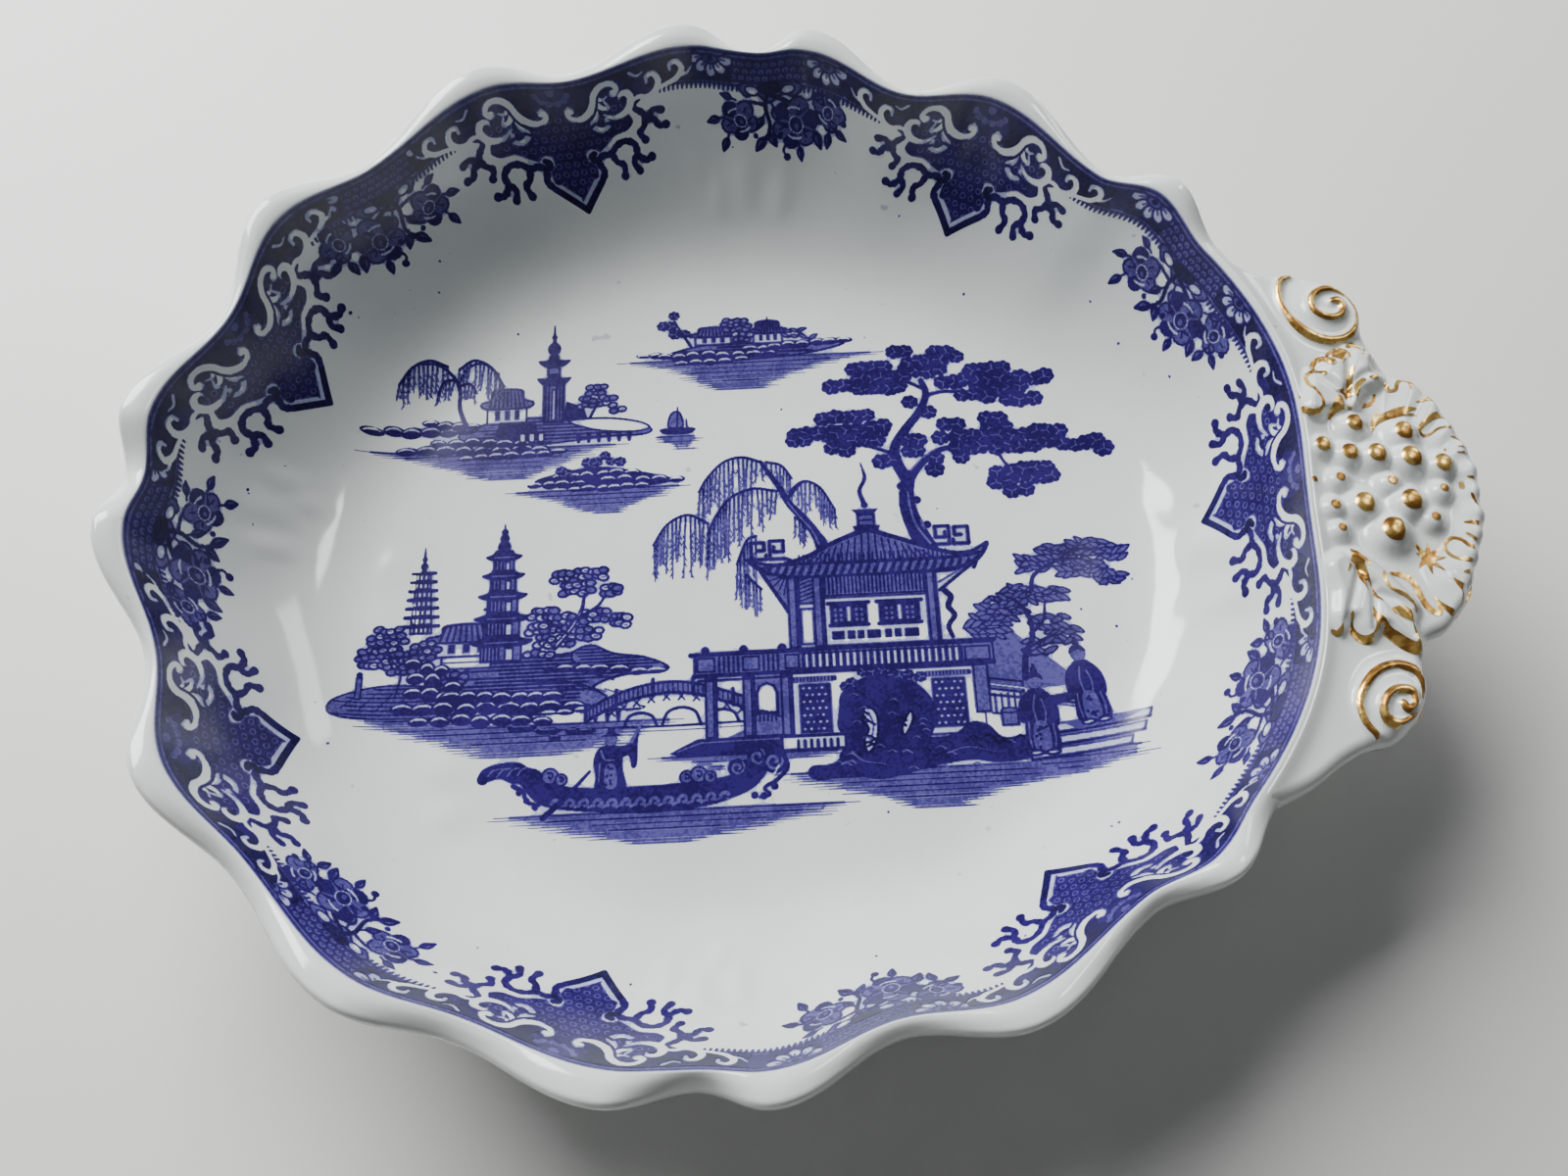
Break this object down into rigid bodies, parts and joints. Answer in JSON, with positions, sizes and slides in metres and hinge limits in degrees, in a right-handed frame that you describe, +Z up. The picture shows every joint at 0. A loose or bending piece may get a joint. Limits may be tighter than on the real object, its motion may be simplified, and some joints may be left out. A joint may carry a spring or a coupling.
{
  "type": "handled serving dish",
  "caption": "Shallow oval serving dish of glazed earthenware with a lobed rim, a foot ring and one handle moulded as scrolls, vine leaves and grapes.",
  "frame": {"origin": "middle of the dish's outer box in plan, handle included, on the plane that the foot ring stands on", "axes": "+X along the length towards the handle, +Z up out of the bowl, +Y across the bowl"},
  "size_m": [0.2532, 0.2126, 0.0481],
  "materials": {
    "glaze": "clear lead glaze over off-white earthenware, glossy",
    "cobalt_print": "cobalt blue printed pattern under a clear gloss glaze",
    "gilding": "thin brushed gold over the glaze, a little worn"
  },
  "bodies": {
    "root": {"dish_body": "glaze", "foot_ring": "glaze", "handle_plate": "glaze", "scroll_upper": "glaze", "scroll_lower": "glaze", "leaf_upper": "glaze", "leaf_lower": "glaze", "leaf_tip": "glaze", "grape_01": "glaze", "grape_02": "glaze", "grape_03": "glaze", "grape_04": "glaze", "grape_05": "glaze", "grape_06": "glaze", "grape_07": "glaze", "grape_08": "glaze", "grape_09": "glaze", "grape_10": "glaze", "grape_11": "glaze", "grape_12": "glaze", "grape_13": "glaze", "grape_14": "glaze", "grape_15": "glaze", "grape_16": "glaze"}
  },
  "joints": []
}
